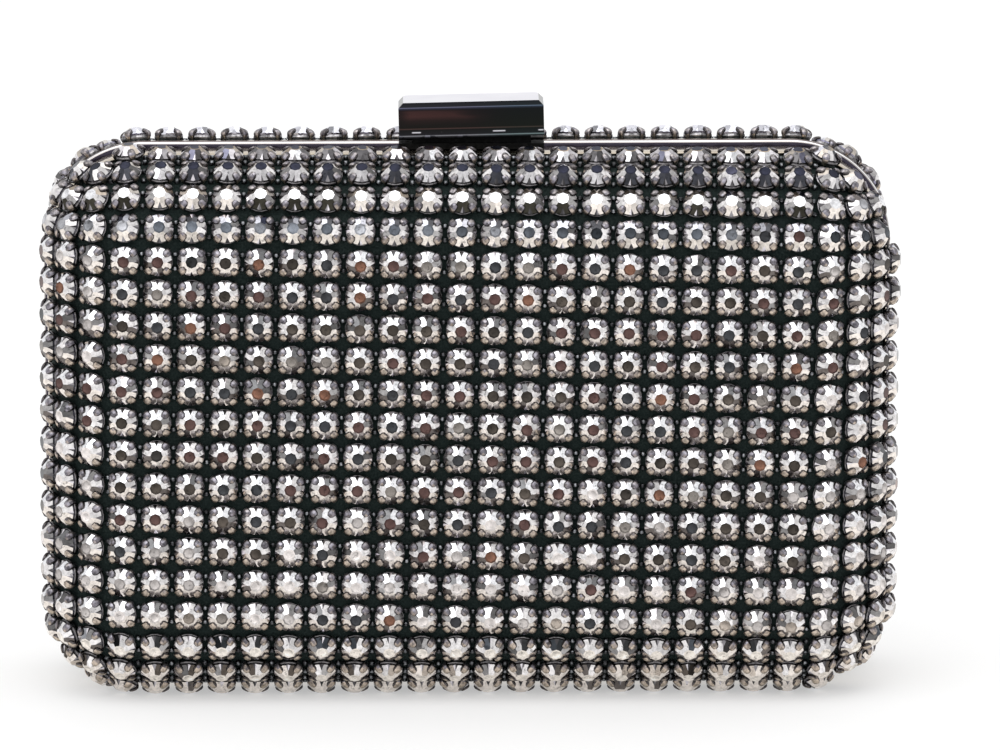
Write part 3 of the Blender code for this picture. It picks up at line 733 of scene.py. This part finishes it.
def metal_tone(normal, outward, kind):
    # Prongs are toned by the height they face, with painted reflection and shade; their sides and
    # most cup walls are dark as painted shade; inward walls of upturned stones are pale as painted
    # reflection; the bars get random greys.
    if kind == "prong":
        facing = height_of(normal) + rng.gauss(0, 5)
        share = rng.choice((0.5, 0.8, 1.0, 1.15)) if facing > 4 else rng.uniform(0.85, 1.05)
        return tinted(share, *looked_up(PAINTED_METAL_LIGHT, facing))
    if kind == "prong_side":
        return PRONG_SIDE_SHADE
    if kind == "link":
        return tinted(rng.choice((0.07, 0.12, 0.2, 0.36)), 1, 1.04, 1.1)
    if normal.dot(levelled(outward)) < 0 and outward.z > 0.5:
        return tinted(rng.choice((0.25, 0.45, 0.6)), 1, 0.97, 1)
    return WALL_SHADE


def corner_tones(shape, placed, seat, outward):
    """A painted light tone for each face corner of a placed shape, in the order of its faces."""
    low = (MIDDLE - seat.z) / (FLAT_HEIGHT / 2)
    mood = rng.random()
    tones = []
    table = None
    for corners, kind in shape.faces:
        a, b, c = (placed[i] for i in corners[:3])
        facing = (b - a).cross(c - a).normalized()
        if kind == "table":
            table = facet_tone(facing, outward, kind, low, mood)
            tones += table_tones(table, [placed[i] for i in corners], outward)
            continue
        if kind == "table_rim":
            off_middle = (a + b) / 2 - (seat + outward * TABLE_HEIGHT * MM)
            tone = table_rim_tone(table, off_middle, outward)
        elif kind in STONE_KINDS:
            tone = facet_tone(facing, outward, kind, low, mood)
        else:
            tone = metal_tone(facing, outward, kind)
        tones += [tone] * len(corners)
    return tones


# Rows of stones

UNIT = stone_in_cup()
LINK = link_bars()

# How unevenly stones are set, in degrees about each of their axes
UNEVEN = (("X", 1.2), ("Y", 1.2), ("Z", 2.5))


def row_lean():
    lean = Matrix.Identity(3)
    for axis, spread in UNEVEN:
        lean = lean @ Matrix.Rotation(rng.gauss(0, math.radians(spread)), 3, axis)
    return lean


def build_row(name, index, back):
    row = Row(index, back)
    flip = Matrix.Diagonal((1, -1, 1)) if back else Matrix.Identity(3)
    places = row.stones()
    added = []
    if not back and index in ADDED_LEFT:
        added.append(places[0] - STONE_PITCH)
    if not back and index in ADDED_RIGHT:
        added.append(places[-1] + STONE_PITCH)
    places = sorted(places + added)
    joints = [(a + b) / 2 for a, b in zip(places, places[1:])]
    verts, faces, slots, smooth, tones = [], [], [], [], []
    for u, shape in [(u, UNIT) for u in places] + [(u, LINK) for u in joints]:
        seat, normal, along, across = (flip @ v for v in row.section(u))
        turn = Matrix((-along if back else along, across, normal)).transposed()
        lean = row_lean() if shape is UNIT else Matrix.Identity(3)
        lift = ADDED_LIFT if u in added else (-FOOT_SINK if index == ROW_COUNT - 1 else 0)
        placed = [seat + normal * lift + turn @ (lean @ p) * MM for p in shape.points]
        tones += corner_tones(shape, placed, seat, normal)
        faces += [[len(verts) + i for i in corners] for corners, _ in shape.faces]
        slots += [int(kind not in STONE_KINDS) for _, kind in shape.faces]
        smooth += [kind in SMOOTH_KINDS for _, kind in shape.faces]
        verts += placed
    obj = mesh_object(name, verts, faces, (STONE, CUP), slots, smooth)
    # The tones hold the stones' painted reflections and the cups' painted shade.
    paint(obj, "tone", tones)
    return obj


for half in ("front", "back"):
    for index in range(ROW_COUNT):
        cad_row = f"{half}_stone_row_{index + 1:02d}"
        made = build_row(f"{half}_cup_chain_{index + 1:02d}", index, half == "back")
        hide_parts(cad_row)
        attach(made, f"{half}_half")


# Frames, shells and linings

HOOP_STEPS = 28
PAN_STEPS = 14
HOOP_SHARP = math.radians(50)
PAN_SHARP = math.radians(35)

# Tones round the bead from the parting line to the band, for the front and the back: on the front,
# painted shade on the side at the parting line, a painted highlight along the crest and painted
# dark reflection below it; on the back, painted shade all round
BEAD_STEPS = 10
FRONT_BEAD_LIGHT = (
    ((0.25, 0.25, 0.32),) * 4 + ((1.75, 2.0, 2.5),) * 3 + ((0.8, 0.85, 1.0),)
    + ((0.10, 0.10, 0.17),) * 3
)
BACK_BEAD_SHADE = ((0.30, 0.28, 0.34),) * (BEAD_STEPS + 1)


def case_ring(radius, depth, steps):
    """A ring of points round the case, with its corners at a radius."""
    points = []
    for corner in range(4):
        middle = (corner + 0.5) * math.pi / 2
        centre_x = math.copysign(FLAT_WIDTH / 2, math.cos(middle))
        centre_z = math.copysign(FLAT_HEIGHT / 2, math.sin(middle)) + MIDDLE
        for step in range(steps + 1):
            angle = (corner + step / steps) * math.pi / 2
            x, z = centre_x + radius * math.cos(angle), centre_z + radius * math.sin(angle)
            points.append((x, -depth, z))
    return points


def swept(name, profile, steps, closed, material, back, tones=None):
    """A hoop or pan swept round the case from (corner radius, depth) points.

    A pan's profile starts and ends at radius zero, and both ends get a flat face.
    """
    verts, faces, colours = [], [], []
    rings = []
    for radius, depth in profile:
        ring = case_ring(radius, depth, steps)
        rings.append(range(len(verts), len(verts) + len(ring)))
        verts += ring
    pairs = list(zip(rings, rings[1:])) + ([(rings[-1], rings[0])] if closed else [])
    for k, (near, far) in enumerate(pairs):
        for i in range(len(near)):
            j = (i + 1) % len(near)
            faces.append((near[i], near[j], far[j], far[i]))
            colours.append(tones[k] if tones else grey(1.0))
    if not closed:
        corners = [k * (steps + 1) for k in range(4)]
        faces.append([rings[-1][k] for k in corners])
        faces.append([rings[0][k] for k in reversed(corners)])
        colours += [grey(1.0)] * 2
    if back:
        verts = [(x, -y, z) for x, y, z in verts]
        faces = [list(reversed(face)) for face in faces]
    obj = mesh_object(name, verts, faces, (material,), smooth=[True] * len(faces))
    paint(obj, "tone", [colour for face, colour in zip(faces, colours) for _ in face])
    return obj


def cut(obj, boxes):
    """Takes boxes, each given by two corners, away from a piece."""
    for low, high in boxes:
        bm = bmesh.new()
        bmesh.ops.create_cube(bm, size=1)
        bmesh.ops.scale(bm, vec=Vector(high) - Vector(low), verts=bm.verts)
        bmesh.ops.translate(bm, vec=(Vector(low) + Vector(high)) / 2, verts=bm.verts)
        mesh = bpy.data.meshes.new("cutter")
        bm.to_mesh(mesh)
        bm.free()
        tool = bpy.data.objects.new("cutter", mesh)
        bpy.context.scene.collection.objects.link(tool)
        modifier = obj.modifiers.new("cut", "BOOLEAN")
        modifier.solver = "EXACT"
        modifier.object = tool
        graph = bpy.context.evaluated_depsgraph_get()
        result = bpy.data.meshes.new_from_object(obj.evaluated_get(graph))
        obj.modifiers.clear()
        obj.data = result
        bpy.data.objects.remove(tool)


def foot_boxes():
    """What a hoop loses at the foot: all below the floor, and the room for the two hinges."""
    foot = MIDDLE - FLAT_HEIGHT / 2 - BAND_OUTER - 0.01 * MM
    below = foot - 5 * MM
    boxes = [((-0.1, -0.02, below), (0.1, 0.02, foot))]
    for place in (-HINGE_SPACING / 2, HINGE_SPACING / 2):
        low = (place - HINGE_HALF, -HINGE_REACH, below)
        boxes.append((low, (place + HINGE_HALF, HINGE_REACH, foot + HINGE_REACH)))
    return boxes


def frame_profile(back):
    """The band's section with its bead drawn round, and a fine groove beside the bead."""
    points = [(LIP_RADIUS, BEAD_START)]
    middle, half = (BEAD_START + BEAD_END) / 2, (BEAD_END - BEAD_START) / 2
    for i in range(BEAD_STEPS + 1):
        angle = math.pi * i / BEAD_STEPS
        rise = (BEAD_RISE + 0.1 * MM) * math.sin(angle) ** 0.7 if 0 < i < BEAD_STEPS else 0
        points.append((BAND_OUTER - 0.1 * MM + rise, middle - half * math.cos(angle)))
    tip = BAND_INNER + 0.25 * MM
    points += [
        (BAND_OUTER - 0.12 * MM, BEAD_END + 0.3 * MM), (BAND_OUTER, BEAD_END + 0.6 * MM),
        (BAND_OUTER, CORNER_DEPTH - 2 * MM), (BAND_OUTER, CORNER_DEPTH),
        (tip * math.cos(BAND_WRAP), FRAME_DEPTH), (BAND_INNER * math.cos(BAND_WRAP), FRAME_DEPTH),
        (BAND_INNER, CORNER_DEPTH), (BAND_INNER, LIP_FRONT), (LIP_RADIUS, LIP_FRONT),
    ]
    # Painted shade on the face at the parting line and in the groove, a band painted brighter on
    # the front than on the back, and painted shade on the inner faces
    groove, band = (0.5, 0.95) if back else (0.55, 1.15)
    tones = [grey(0.3), *(BACK_BEAD_SHADE if back else FRONT_BEAD_LIGHT), grey(groove)]
    return points, tones + [grey(band)] * 3 + [grey(0.6)] * 5


def pan_profile(outer, wall):
    """A tray's section, from the middle of its inside to the middle of its outside."""
    inner = outer - wall
    chamfer = 0.2 * MM
    quarter = [step / PAN_STEPS * math.pi / 2 for step in range(PAN_STEPS + 1)]

    def bend(radius, angle):
        return max(radius * math.cos(angle), 0), CORNER_DEPTH + radius * math.sin(angle)

    edge = [
        (inner, SHELL_EDGE + chamfer), (inner + chamfer, SHELL_EDGE),
        (outer - chamfer, SHELL_EDGE), (outer, SHELL_EDGE + chamfer),
    ]
    inside = [bend(inner, angle) for angle in reversed(quarter)]
    return inside + edge + [bend(outer, angle) for angle in quarter]


for half in ("front", "back"):
    back = half == "back"
    profile, tones = frame_profile(back)
    hoop = swept(f"{half}_hoop", profile, HOOP_STEPS, True, NICKEL, back, tones)
    cut(hoop, foot_boxes())
    shell_section = pan_profile(EDGE_RADIUS, SHELL_WALL)
    shell = swept(f"{half}_covered_shell", shell_section, PAN_STEPS, False, CLOTH, back)
    tray_section = pan_profile(TRAY_RADIUS, LINING_WALL)
    tray = swept(f"{half}_satin_tray", tray_section, PAN_STEPS, False, LINING, back)
    for made, cad, slot, sharp in (
        (hoop, "frame", "band_metal", HOOP_SHARP), (shell, "shell", "backing", PAN_SHARP),
        (tray, "lining", "satin", PAN_SHARP),
    ):
        made.data.set_sharp_from_angle(angle=sharp)
        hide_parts(f"{half}_{cad}")
        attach(made, f"{half}_half")


# Clasp and hinges

SPRING_SIDES = 10
SPRING_STEPS = 28


def softened(obj, width):
    bevel = obj.modifiers.new("edges", "BEVEL")
    bevel.width = width
    bevel.segments = 2
    bevel.limit_method = "ANGLE"
    bevel.angle_limit = math.radians(40)


def paint_bar(obj):
    """Share along the bar, whether a face looks up, and share up the bar, in its own lean."""
    upright = Matrix.Rotation(BAR_LEAN, 3, "Y")
    low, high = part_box("clasp_bar")
    middle = Vector(((low.x + high.x) / 2, 0, MIDDLE + (BAR_LOW + BAR_HIGH) / 2))
    colours = []
    for face in obj.data.polygons:
        facing = (obj.matrix_world.to_3x3() @ face.normal).normalized()
        for k in face.vertices:
            point = upright @ (obj.matrix_world @ obj.data.vertices[k].co - middle)
            along = point.x / (high.x - low.x) + 0.5
            up = point.z / (BAR_HIGH - BAR_LOW) + 0.5
            colours.append((along, 1.0 if facing.z > 0.9 else 0.0, up))
    paint(obj, "place", colours)


def spring_height(turn, height):
    """How high the wire's middle is after some turns, of which the first and last are closed."""
    closed = min(turn, 1) + max(turn - 1 - SPRING_TURNS, 0)
    open_share = min(max(turn - 1, 0), SPRING_TURNS) / SPRING_TURNS
    return SPRING_WIRE * (1 + 0.5 * closed) + open_share * (height - 3 * SPRING_WIRE)


def coil_spring():
    """The clasp's spring as round wire."""
    low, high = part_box("clasp_spring")
    length = high.z - low.z
    anchor = ((low.x + high.x) / 2, (low.y + high.y) / 2, low.z)
    radius = (high.x - low.x) / 2 - SPRING_WIRE
    count = (SPRING_TURNS + 2) * SPRING_STEPS
    verts, faces = [], []
    for i in range(count + 1):
        turn = i / SPRING_STEPS
        out = Vector((math.cos(math.tau * turn), math.sin(math.tau * turn), 0))
        middle = Vector(anchor) + out * radius + Vector((0, 0, spring_height(turn, length)))
        for k in range(SPRING_SIDES):
            angle = math.tau * k / SPRING_SIDES
            across = out * math.cos(angle) + Vector((0, 0, math.sin(angle)))
            verts.append(middle + across * SPRING_WIRE)
    for i in range(count):
        near, far = i * SPRING_SIDES, (i + 1) * SPRING_SIDES
        for k in range(SPRING_SIDES):
            n = (k + 1) % SPRING_SIDES
            faces.append((near + k, far + k, far + n, near + n))
    faces.append(list(range(SPRING_SIDES)))
    faces.append([count * SPRING_SIDES + k for k in reversed(range(SPRING_SIDES))])
    obj = mesh_object("clasp_coil_spring", verts, faces, (SPRING,), smooth=[True] * len(faces))
    obj.data.set_sharp_from_angle(angle=math.radians(50))
    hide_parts("clasp_spring")
    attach(obj, "front_half")
    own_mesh(obj)


coil_spring()

for name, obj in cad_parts.items():
    if "hinge" in name:
        material = HINGE
    elif name == "clasp_bar":
        material = BAR
        paint_bar(obj)
        softened(obj, 0.12 * MM)
    elif name.startswith("clasp"):
        material = GUNMETAL if name == "clasp_latch" else LACQUER
        softened(obj, 0.08 * MM)
    else:
        continue
    obj.data.materials.clear()
    obj.data.materials.append(material)


# Floor, light and camera

FLOOR_REACH = 30.0
FLOOR_WHITE = 0.45
AZIMUTH, ELEVATION, ROLL = (math.radians(angle) for angle in (-0.2, 10.44, -0.17))
DISTANCE = 2.169
LENS = 366.7
SENSOR_WIDTH = 36
SHIFT = (0.0327, 0.0352)


def floor():
    finish = Finish("pale_floor", grey(0.94), 0.7, 0.0)
    material = finish.show(finish.ramp(finish.noise(3), (0.3, 0.93), (0.7, 0.95)))

    # A share of plain white in what the camera and mirrors see, so that the shadow is soft
    rays = finish.node("LightPath").outputs
    seen = rays["Is Camera Ray"]
    for kind in ("Is Glossy Ray", "Is Transmission Ray"):
        seen = finish.maths("MAXIMUM", seen, rays[kind])
    white = finish.node("Emission", {"Color": (1, 1, 1, 1), "Strength": 1.0})
    mixed = finish.node("MixShader", {
        0: finish.maths("MULTIPLY", seen, FLOOR_WHITE),
        1: finish.shader.outputs["BSDF"], 2: white.outputs["Emission"],
    })
    finish.feed(finish.tree.nodes["Material Output"], {"Surface": mixed.outputs["Shader"]})

    corners = ((-1, -1), (1, -1), (1, 1), (-1, 1))
    verts = [(x * FLOOR_REACH, y * FLOOR_REACH, 0) for x, y in corners]
    obj = mesh_object("floor", verts, [(0, 1, 2, 3)], (material,))
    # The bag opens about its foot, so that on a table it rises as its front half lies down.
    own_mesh(obj)


def softbox(name, place, size, power):
    """A lamp that points at the middle of the bag."""
    lamp = bpy.data.lights.new(name, "AREA")
    lamp.shape = "RECTANGLE"
    lamp.size, lamp.size_y = size
    lamp.energy = power
    obj = bpy.data.objects.new(name, lamp)
    obj.location = place
    aim = Vector((0, 0, 0.06)) - Vector(place)
    obj.rotation_euler = aim.to_track_quat("-Z", "Y").to_euler()
    bpy.context.scene.collection.objects.link(obj)


def studio():
    """White all round, a little under full strength."""
    world = bpy.data.worlds.new("studio")
    world.use_nodes = True
    bpy.context.scene.world = world
    background = world.node_tree.nodes["Background"]
    background.inputs["Color"].default_value = (1, 1, 1, 1)
    background.inputs["Strength"].default_value = 0.93


def camera():
    """The camera at the photo's angle, which looks almost straight at the front."""
    data = bpy.data.cameras.new("camera")
    obj = bpy.data.objects.new("camera", data)
    bpy.context.scene.collection.objects.link(obj)
    bpy.context.scene.camera = obj
    away = Vector((
        math.sin(AZIMUTH) * math.cos(ELEVATION),
        -math.cos(AZIMUTH) * math.cos(ELEVATION),
        math.sin(ELEVATION),
    ))
    obj.location = Vector((0, 0, MIDDLE)) + away * DISTANCE
    aim = (-away).to_track_quat("-Z", "Y").to_matrix()
    obj.rotation_euler = (aim @ Matrix.Rotation(ROLL, 3, "Z")).to_euler()
    data.lens = LENS
    data.sensor_width = SENSOR_WIDTH
    data.shift_x, data.shift_y = SHIFT
    data.clip_start = 0.05
    data.clip_end = 100


floor()
softbox("key", (-0.5, -0.9, 1.5), (1.8, 1.5), 9.5)
softbox("top", (0.2, 0.2, 1.6), (1.8, 1.5), 7)
studio()
camera()

bpy.context.scene.view_settings.view_transform = "Standard"
